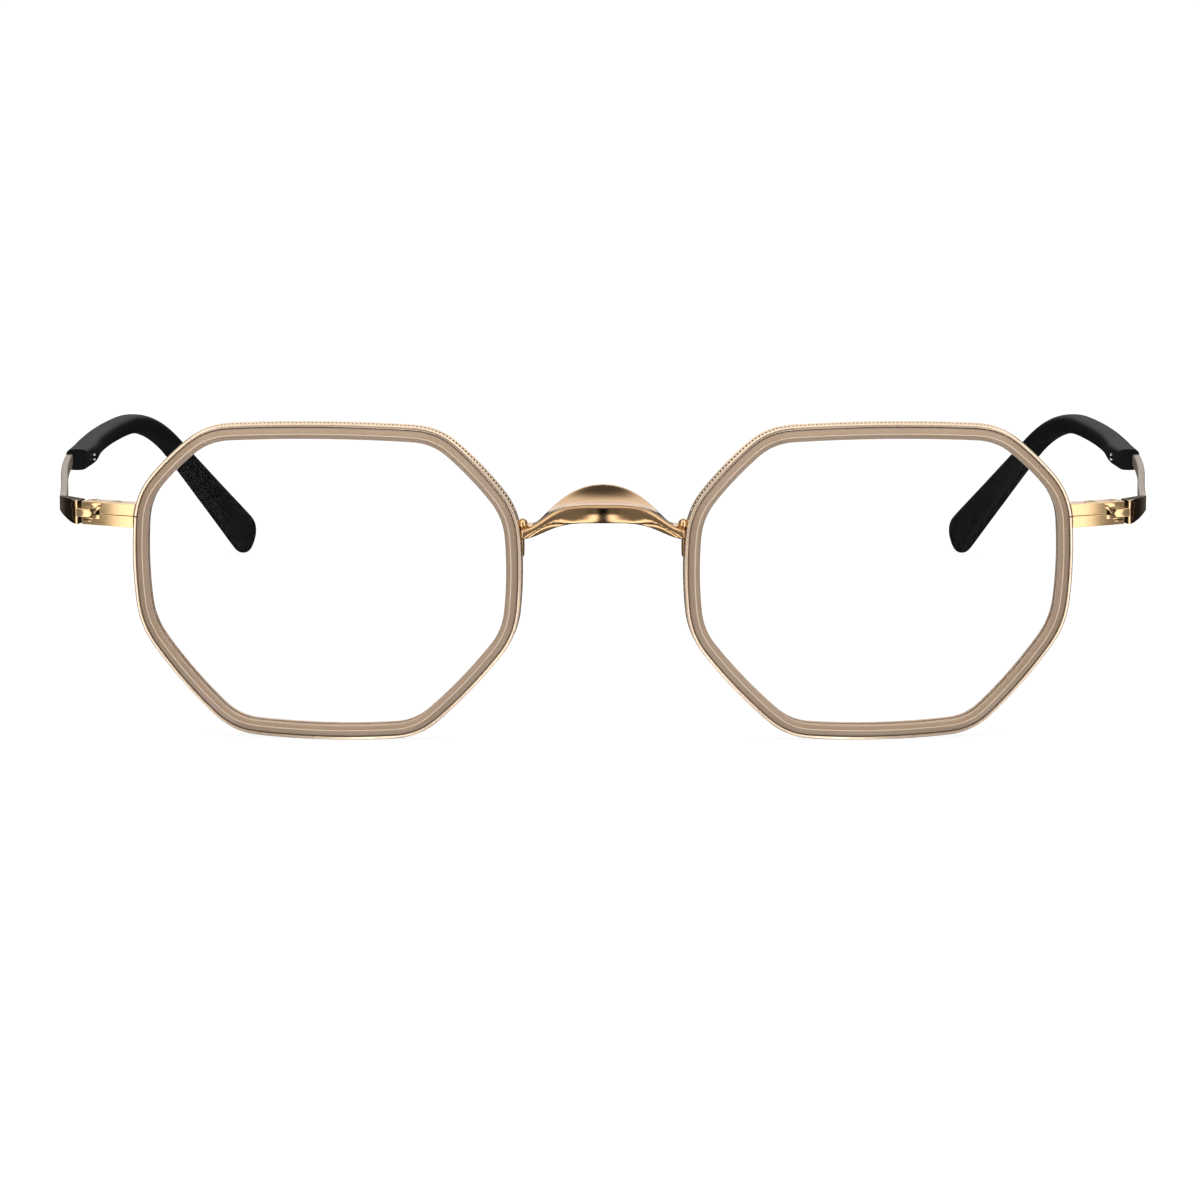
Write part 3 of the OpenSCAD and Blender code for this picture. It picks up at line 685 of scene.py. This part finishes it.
class EYEGLASS_OT_bridge(bpy.types.Operator):
    """Saddle bridge, recast as one smooth casting"""
    bl_idname = "eyeglass.bridge"
    bl_label = "Bridge"

    def execute(self, context):
        bridge = copy_of_node("saddle_bridge", "cast_bridge")
        recast(bridge, shapes().bridge_voxel, shapes().bridge_smoothing)
        self.hollow(bridge)
        self.bow(bridge)
        # The bridge takes the darker gold, painted shade for its reflections.
        place(bridge, FRONT, "gold_metal", material("shaded_bridge_gold"), "saddle_bridge")
        for side in SIDES:
            self.lug(side)
        return {"FINISHED"}

    def lug(self, side):
        """A polished oval lug where a foot of the bridge meets its eyewire."""
        longer, taller = 1.3, 1.15
        bpy.ops.mesh.primitive_uv_sphere_add(segments=32, ring_count=20, radius=shapes().lug_r)
        lug = bpy.context.object
        lug.name = f"bridge_lug_{side}"
        for vertex in lug.data.vertices:
            vertex.co.x += outwards_of(shapes().lug_aside, side)
            vertex.co.y = vertex.co.y * longer + FRONT_Y + shapes().lug_back
            vertex.co.z = vertex.co.z * taller + shapes().lug_height
        place(lug, FRONT, "gold_metal", material("gold_metal"))

    def bow(self, bridge):
        """Lets the front recede from its middle, and come back to the eyewires at the feet."""
        reach = shapes().bow_reach
        flank, foot = 4 * MM, 10 * MM
        front, back = 1.2 * MM, 4.5 * MM
        for vertex in bridge.data.vertices:
            aside = abs(vertex.co.x)
            share = fade(aside, flank, foot) * fade(vertex.co.y - FRONT_Y, front, back)
            vertex.co.y += shapes().bow_slope * reach * (math.hypot(1, aside / reach) - 1) * share

    def hollow(self, bridge):
        """Sinks the saddle's upper side a little between its two crests."""
        front, back = 0.6 * MM, 6.8 * MM
        half_width = 9.5 * MM
        for vertex in bridge.data.vertices:
            share = (vertex.co.y - FRONT_Y - front) / (back - front)
            if 0 < share < 1:
                along = (4 * share * (1 - share)) ** 2
                across = max(0, 1 - (vertex.co.x / half_width) ** 2)
                vertex.co.z -= shapes().saddle_sag * along * across


class EYEGLASS_OT_endpieces(bpy.types.Operator):
    """Endpiece halves with softened edges"""
    bl_idname = "eyeglass.endpieces"
    bl_label = "Endpieces"

    def execute(self, context):
        for side in SIDES:
            for half in ("upper", "lower"):
                node = f"endpiece_{half}_{side}"
                piece = copy_of_node(node, f"gold_{node}")
                recast(piece, shapes().endpiece_voxel, shapes().endpiece_smoothing)
                self.true_front(piece, side)
                place(piece, FRONT, "gold_metal", material("gold_metal"), node)
                # Painted shade on the walls of the slot.
                paint_shade_on(piece, lambda face: self.in_slot(face, side))
        return {"FINISHED"}

    def true_front(self, piece, side):
        """Lays the front face on the true arc of its bow, which the CAD mesh has in facets."""
        inner = -shapes().endpiece_len - 1 * MM
        outer = 1.3 * MM
        nearby = 0.05 * MM
        middle, bow = (inner + outer) / 2, shapes().endpiece_bow
        radius = ((outer - middle) ** 2 + bow ** 2) / (2 * bow)
        deepest = radius - shapes().endpiece_half
        for vertex in piece.data.vertices:
            outwards, back, _ = from_hinge(side, vertex.co)
            arc = deepest - math.sqrt(max(0, radius ** 2 - (outwards - middle) ** 2))
            if abs(back - arc) < nearby:
                vertex.co += at_hinge(side, 0, arc - back, 0) - hinge_axis(side)

    def in_slot(self, face, side):
        """Whether a face lies on the walls of the slot for the tongue."""
        spot = from_hinge(side, face.center)
        return abs(spot.z) < shapes().slot_half and spot.x > -shapes().slot_reach


class EYEGLASS_OT_screws(bpy.types.Operator):
    """Rim screws and hinge screws"""
    bl_idname = "eyeglass.screws"
    bl_label = "Screws"

    def execute(self, context):
        for side in SIDES:
            for kind in ("rim", "hinge"):
                node = f"{kind}_screw_{side}"
                piece = copy_of_node(node, f"slotted_{node}")
                in_edit_mode(piece, dissolve_flats)
                round_edges(piece, shapes().screw_round, over=35)
                crisp(piece)
                place(piece, FRONT, "gold_metal", material("gold_metal"), node)
        return {"FINISHED"}


class EYEGLASS_OT_temple_joints(bpy.types.Operator):
    """Gold corner blocks at the front of the temples"""
    bl_idname = "eyeglass.temple_joints"
    bl_label = "Temple joints"

    def execute(self, context):
        for side in SIDES:
            block = copy_of_node(f"temple_joint_{side}", f"gold_joint_{side}")
            in_edit_mode(block, dissolve_flats)
            round_edges(block, shapes().edge_round, over=35)
            crisp(block)
            place(block, temple_body(side), "gold_metal", material("gold_metal"),
                  f"temple_joint_{side}")
            # Painted shade on the tongue's round end and the faces towards the knuckles.
            paint_shade_on(block, lambda face: self.in_gap(face, side))
        return {"FINISHED"}

    def in_gap(self, face, side):
        """Whether a face lies on the tongue's round end or faces the knuckles."""
        least_inwards = 0.9
        outwards = from_hinge(side, face.center).x
        inwards = -face_way(side, face.normal).x > least_inwards
        return outwards < 0 or (inwards and outwards < shapes().gap_reach)


# Ornament on the hinges, in millimetres outwards from the hinge axis and up from its middle

LEAF = [(-1.70, 1.40), (-1.82, 1.10), (-1.66, 0.80), (-1.28, 0.62), (-0.98, 0.36), (-0.68, 0.02),
        (-0.50, -0.04), (-0.44, 0.20), (-0.52, 0.48), (-0.38, 0.74), (-0.05, 0.88), (0.50, 0.84),
        (1.15, 0.92), (1.20, 1.40)]
LOWER_LIP = [(-1.36, -0.16), (-0.56, -0.16), (-0.34, -0.40), (-0.12, -0.52), (-0.12, -0.66),
             (-1.36, -0.66)]
TONGUE_POINT = [(-0.42, -0.06), (-0.18, 0.20), (0.12, 0.36), (0.80, 0.42), (1.95, 0.50),
                (1.95, -0.50), (0.20, -0.50), (-0.10, -0.36)]
UPPER_BAR = [(-0.45, -0.66), (1.05, -0.66), (1.05, -0.76), (-0.45, -0.76)]
LOWER_BAR = [(-0.20, -0.98), (1.05, -0.98), (1.05, -1.08), (-0.20, -1.08)]
# Painted shade: the outline of a dark plate laid in the slot between the lower bars.
SLOT_SHADE_OUTLINE = [(-0.30, -0.78), (1.05, -0.78), (1.05, -0.96), (-0.05, -0.96)]
LEAF_VEIN = [(-1.50, 1.05), (-1.15, 0.98), (-0.80, 0.72), (-0.62, 0.36)]
BLOCK_SCROLL = [(2.90, 1.20), (3.15, 0.85), (3.00, 0.45), (2.75, 0.15), (2.95, -0.25),
                (2.85, -0.75), (2.60, -1.10)]
BLOCK_EDGE = [(2.35, 1.35), (2.15, 1.05), (2.15, -0.95), (2.35, -1.25)]


def skin_depth(node, side, outwards, up):
    """How far back from the hinge axis the front skin of a node lies, by a ray from the front."""
    before = 5 * MM
    mesh = frame["nodes"][node].data
    tree = BVHTree.FromPolygons([v.co for v in mesh.vertices], [p.vertices for p in mesh.polygons])
    start = at_hinge(side, outwards, -before, up)
    way = (at_hinge(side, outwards, 0, up) - start).normalized()
    hit = tree.ray_cast(start, way)[0]
    if hit is None:
        raise RuntimeError(f"{node} has no skin at {outwards}, {up}")
    return (hit - start).length - before


class EYEGLASS_OT_hinge_ornament(bpy.types.Operator):
    """Leaf, pointed tongue and dark lines on the hinges, the lines painted shade for engraving"""
    bl_idname = "eyeglass.hinge_ornament"
    bl_label = "Hinge ornament"

    def execute(self, context):
        proud = shapes().relief
        thin = proud / 4
        for side in SIDES:
            temple = temple_body(side)
            upper = (f"endpiece_upper_{side}", 1.0)
            lower = (f"endpiece_lower_{side}", -1.0)
            tongue = (f"temple_joint_{side}", 0.0)
            block = (f"temple_joint_{side}", None)
            self.plate("leaf", side, LEAF, upper, proud, "gold_metal", FRONT)
            self.plate("lower_lip", side, LOWER_LIP, lower, thin, "gold_metal", FRONT)
            self.plate("upper_bar", side, UPPER_BAR, lower, proud, "gold_metal", FRONT)
            self.plate("lower_bar", side, LOWER_BAR, lower, proud, "gold_metal", FRONT)
            # Painted shade in the slot between the bars.
            self.plate("slot_shade", side, SLOT_SHADE_OUTLINE, lower, thin, "painted_shade_gold", FRONT)
            self.plate("tongue_point", side, TONGUE_POINT, tongue, proud, "gold_metal", temple)
            self.line("leaf_vein", side, LEAF_VEIN, upper, proud, FRONT)
            self.line("block_scroll", side, BLOCK_SCROLL, block, 0, temple)
            self.line("block_edge", side, BLOCK_EDGE, block, 0, temple)
        return {"FINISHED"}

    def plate(self, name, side, outline, seat, proud, finish_name, body):
        """A thin plate with this outline, proud of its seat: a node, and a level on its skin."""
        node, level = seat
        sunk = 0.1 * MM
        rounding = 0.35 * proud
        points = [(e * MM, z * MM) for e, z in outline]
        bpy.ops.object.select_all(action="DESELECT")
        bpy.ops.mesh.primitive_circle_add(vertices=len(points), fill_type="NGON")
        piece = bpy.context.object
        piece.name = f"{name}_{side}"
        for vertex, (e, z) in zip(piece.data.vertices, points):
            depth = skin_depth(node, side, max(e, 0) if level == 0 else e, level * MM)
            vertex.co = at_hinge(side, e, depth + sunk, z)
        way = at_hinge(side, 0, -1, 0) - at_hinge(side, 0, 0, 0)
        in_edit_mode(piece, lambda: bpy.ops.mesh.extrude_region_move(
            TRANSFORM_OT_translate={"value": way * (sunk + proud)}))
        in_edit_mode(piece, bpy.ops.mesh.normals_make_consistent)
        round_edges(piece, rounding, over=20)
        shade(piece)
        place(piece, body, "gold_metal", material(finish_name))

    def line(self, name, side, route, seat, proud, body):
        """A dark line along the route, painted shade standing for an engraved groove, half sunk in
        its seat, at each point's own level where the seat has none."""
        node, level = seat
        bpy.ops.object.select_all(action="DESELECT")
        bpy.ops.curve.primitive_nurbs_path_add()
        piece = bpy.context.object
        piece.name = f"{name}_{side}"
        curve = piece.data
        curve.splines.clear()
        spline = curve.splines.new("NURBS")
        spline.points.add(len(route) - 1)
        spline.use_endpoint_u = True
        spline.order_u = 3
        for point, (e, z) in zip(spline.points, route):
            depth = skin_depth(node, side, e * MM, (z if level is None else level) * MM) - proud
            point.co = (*at_hinge(side, e * MM, depth, z * MM), 1)
        curve.bevel_depth = shapes().engraved_r
        curve.bevel_resolution = 2
        curve.resolution_u = 6
        curve.use_fill_caps = True
        bpy.ops.object.convert(target="MESH")
        shade(bpy.context.object)
        # Painted shade: the lines take the dark gold.
        place(bpy.context.object, body, "gold_metal", material("painted_shade_gold"))


class EYEGLASS_OT_strips(bpy.types.Operator):
    """Thin metal strips of the temples"""
    bl_idname = "eyeglass.strips"
    bl_label = "Strips"

    def execute(self, context):
        for side in SIDES:
            strip = copy_of_node(f"temple_strip_{side}", f"taupe_strip_{side}")
            in_edit_mode(strip, triangles_to_quads)
            subdivide(strip)
            shade(strip)
            place(strip, temple_body(side), "taupe_metal", material("taupe_metal"),
                  f"temple_strip_{side}")
        return {"FINISHED"}


class EYEGLASS_OT_tips(bpy.types.Operator):
    """Black temple tips and their silver pins"""
    bl_idname = "eyeglass.tips"
    bl_label = "Tips"

    def execute(self, context):
        for side in SIDES:
            tip = copy_of_node(f"temple_tip_{side}", f"black_tip_{side}")
            in_edit_mode(tip, triangles_to_quads)
            round_edges(tip, shapes().tip_round, 3, 50)
            subdivide(tip)
            shade(tip)
            place(tip, temple_body(side), "black_plastic", material("satin_black"),
                  f"temple_tip_{side}")
            self.pins(side)
        return {"FINISHED"}

    def pins(self, side):
        """Two pins, moved to where they show and cut flush with the tip's inner face."""
        pins = copy_of_node(f"tip_pins_{side}", f"silver_pins_{side}")
        round_edges(pins, shapes().pin_round, 3, 40)
        for vertex in pins.data.vertices:
            vertex.co.y -= shapes().pin_shift
            vertex.co.x = math.copysign(max(abs(vertex.co.x), shapes().pin_aside), vertex.co.x)
        shade(pins)
        place(pins, temple_body(side), "silver_metal", material("silver_metal"),
              f"tip_pins_{side}")


class EYEGLASS_OT_stage(bpy.types.Operator):
    """Floor, studio lights and the camera"""
    bl_idname = "eyeglass.stage"
    bl_label = "Stage"

    def execute(self, context):
        self.settings = context.scene.eyeglass_stage
        self.floor()
        self.world()
        self.softbox("overhead", spot=(0, -0.35, 1.3), width=1.2, height=0.9, power=33.0)
        for side in SIDES:
            self.softbox(f"softbox_{side}", spot=(outwards_of(0.75, side), -1.1, 0.35), width=0.5,
                         height=0.5, power=1.2)
        self.camera()
        context.scene.view_settings.view_transform = "Standard"
        return {"FINISHED"}

    def target(self):
        return Vector((self.settings.target_x, FRONT_Y, self.settings.target_height))

    def aim(self, thing, point):
        thing.rotation_euler = (point - thing.location).to_track_quat("-Z", "Y").to_euler()

    def camera(self):
        settings = self.settings
        bpy.ops.object.camera_add()
        camera = bpy.context.object
        elevation = settings.camera_elevation
        back = Vector((0, -math.cos(elevation), math.sin(elevation)))
        camera.location = self.target() + back * settings.camera_distance
        self.aim(camera, self.target())
        camera.data.lens = camera.data.sensor_width * settings.camera_distance / settings.view_width
        bpy.context.scene.camera = camera

    def softbox(self, name, spot, width, height, power):
        """A lamp aimed at the middle of the glasses, with sizes in metres and power in watts."""
        middle = Vector((0, 0, 20 * MM))
        bpy.ops.object.light_add(type="AREA", location=spot)
        lamp = bpy.context.object
        lamp.name = name
        lamp.data.shape = "RECTANGLE"
        lamp.data.size = width
        lamp.data.size_y = height
        lamp.data.energy = power
        lamp.visible_camera = False
        lamp.visible_glossy = False
        self.aim(lamp, middle)

    def floor(self):
        bpy.ops.object.select_all(action="DESELECT")
        bpy.ops.mesh.primitive_plane_add(size=self.settings.floor_size)
        floor = bpy.context.object
        floor.name = "studio_floor"
        made = bpy.data.materials.new("pale_floor")
        made.use_nodes = True
        tree = made.node_tree
        principled = tree.nodes["Principled BSDF"]
        principled.inputs["Base Color"].default_value = (*self.settings.floor_colour, 1)
        principled.inputs["Roughness"].default_value = 1.0
        principled.inputs["Specular IOR Level"].default_value = 0.0
        glow = tree.nodes.new("ShaderNodeEmission")
        mix = tree.nodes.new("ShaderNodeMixShader")
        white = self.maths(tree, "MULTIPLY", self.seen_rays(tree), self.settings.floor_white)
        tree.links.new(white, mix.inputs[0])
        tree.links.new(principled.outputs[0], mix.inputs[1])
        tree.links.new(glow.outputs[0], mix.inputs[2])
        tree.links.new(mix.outputs[0], tree.nodes["Material Output"].inputs["Surface"])
        floor.data.materials.append(made)
        floor.visible_glossy = False

    def maths(self, tree, operation, *values):
        """A Math node's result, from links and numbers."""
        node = tree.nodes.new("ShaderNodeMath")
        node.operation = operation
        for socket, value in zip(node.inputs, values):
            if isinstance(value, (int, float)):
                socket.default_value = value
            else:
                tree.links.new(value, socket)
        return node.outputs[0]

    def seen_rays(self, tree):
        """1 for rays from the camera and through glass."""
        path = tree.nodes.new("ShaderNodeLightPath")
        return self.maths(tree, "MAXIMUM", path.outputs["Is Camera Ray"],
                          path.outputs["Is Transmission Ray"])

    def world(self):
        """A studio for the reflections, and plain white for the camera and through glass.

        In front stand two cards beside a dark gap, two more far aside, and a light ceiling. Behind
        is a pale sweep between table and ceiling. The rest is dark. Each ramp names the part of a
        direction where it starts and stops, and the strengths before and after.
        """
        world = bpy.data.worlds.new("studio")
        bpy.context.scene.world = world
        world.use_nodes = True
        tree = world.node_tree
        light = tree.nodes["Background"]
        coordinates = tree.nodes.new("ShaderNodeTexCoord")
        axes = tree.nodes.new("ShaderNodeSeparateXYZ")
        tree.links.new(coordinates.outputs["Generated"], axes.inputs[0])
        across, depth, height = axes.outputs
        aside = self.maths(tree, "ABSOLUTE", across)
        gap = self.ramp(tree, aside, 0.045, 0.095, 0.0, 1.0)
        near_card = self.ramp(tree, aside, 0.14, 0.195, 3.2, 0.31)
        far_card = self.product(tree, self.ramp(tree, aside, 0.42, 0.55, 0.0, 2.0),
                                self.ramp(tree, aside, 0.70, 0.765, 1.0, 0.07))
        brighter_card = self.maths(tree, "MAXIMUM", near_card, far_card)
        low = self.maths(tree, "MAXIMUM", self.ramp(tree, height, -0.35, 0.0, 1.0, 0.08),
                         self.ramp(tree, aside, 0.16, 0.22, 0.0, 1.0))
        ahead = self.ramp(tree, depth, 0.0, 0.2, 1.0, 0.0)
        cards = self.product(tree, gap, brighter_card, low, ahead)
        ceiling = self.product(tree, self.ramp(tree, height, 0.6, 0.8, 0.0, 1.3),
                               self.ramp(tree, depth, 0.1, 0.35, 1.0, 0.0))
        sweep = self.product(tree, self.ramp(tree, depth, 0.25, 0.6, 0.0, 1.0),
                             self.ramp(tree, height, 0.12, 0.2, 0.1, 1.4),
                             self.ramp(tree, height, 0.58, 0.84, 1.0, 0.1),
                             self.ramp(tree, aside, 0.4, 0.6, 1.0, 0.15))
        strength = self.seen_rays(tree)
        for part in (cards, ceiling, sweep):
            strength = self.maths(tree, "MAXIMUM", strength, part)
        light.inputs["Color"].default_value = (1, 1, 1, 1)
        tree.links.new(strength, light.inputs["Strength"])

    def product(self, tree, first, *others):
        """The product of several links."""
        for other in others:
            first = self.maths(tree, "MULTIPLY", first, other)
        return first

    def ramp(self, tree, source, start, stop, low, high):
        """A strength that goes smoothly from low to high as the source goes from start to stop."""
        node = tree.nodes.new("ShaderNodeMapRange")
        node.interpolation_type = "SMOOTHSTEP"
        sockets = ("From Min", "From Max", "To Min", "To Max")
        for socket, value in zip(sockets, (start, stop, low, high)):
            node.inputs[socket].default_value = value
        tree.links.new(source, node.inputs["Value"])
        return node.outputs[0]


class EYEGLASS_PT_panel(bpy.types.Panel):
    """Lists the steps that dress the eyeglasses"""
    bl_idname = "EYEGLASS_PT_panel"
    bl_label = "Eyeglasses"
    bl_space_type = "VIEW_3D"
    bl_region_type = "UI"
    bl_category = "Eyeglasses"

    def draw(self, context):
        for operator in OPERATORS:
            self.layout.operator(operator.bl_idname)
        for name in SETTINGS:
            settings = getattr(context.scene, name)
            for prop in settings.bl_rna.properties:
                if not prop.is_readonly and prop.identifier != "name":
                    self.layout.prop(settings, prop.identifier)


OPERATORS = (EYEGLASS_OT_eyewires, EYEGLASS_OT_milgrain, EYEGLASS_OT_inner_rims,
             EYEGLASS_OT_lenses, EYEGLASS_OT_bridge, EYEGLASS_OT_endpieces, EYEGLASS_OT_screws,
             EYEGLASS_OT_temple_joints, EYEGLASS_OT_hinge_ornament, EYEGLASS_OT_strips,
             EYEGLASS_OT_tips, EYEGLASS_OT_stage)
SETTINGS = {"eyeglass_finish": FinishSettings, "eyeglass_shapes": ShapeSettings,
            "eyeglass_stage": StageSettings}
CLASSES = (*SETTINGS.values(), *OPERATORS, EYEGLASS_PT_panel)


def register():
    for cls in CLASSES:
        bpy.utils.register_class(cls)
    for name, group in SETTINGS.items():
        setattr(bpy.types.Scene, name, PointerProperty(type=group))


def unregister():
    for name in SETTINGS:
        delattr(bpy.types.Scene, name)
    for cls in reversed(CLASSES):
        bpy.utils.unregister_class(cls)


def main():
    register()
    bpy.ops.eyeglass.eyewires()
    bpy.ops.eyeglass.milgrain()
    bpy.ops.eyeglass.inner_rims()
    bpy.ops.eyeglass.lenses()
    bpy.ops.eyeglass.bridge()
    bpy.ops.eyeglass.endpieces()
    bpy.ops.eyeglass.screws()
    bpy.ops.eyeglass.temple_joints()
    bpy.ops.eyeglass.hinge_ornament()
    bpy.ops.eyeglass.strips()
    bpy.ops.eyeglass.tips()
    bpy.ops.eyeglass.stage()


if __name__ == "__main__":
    main()
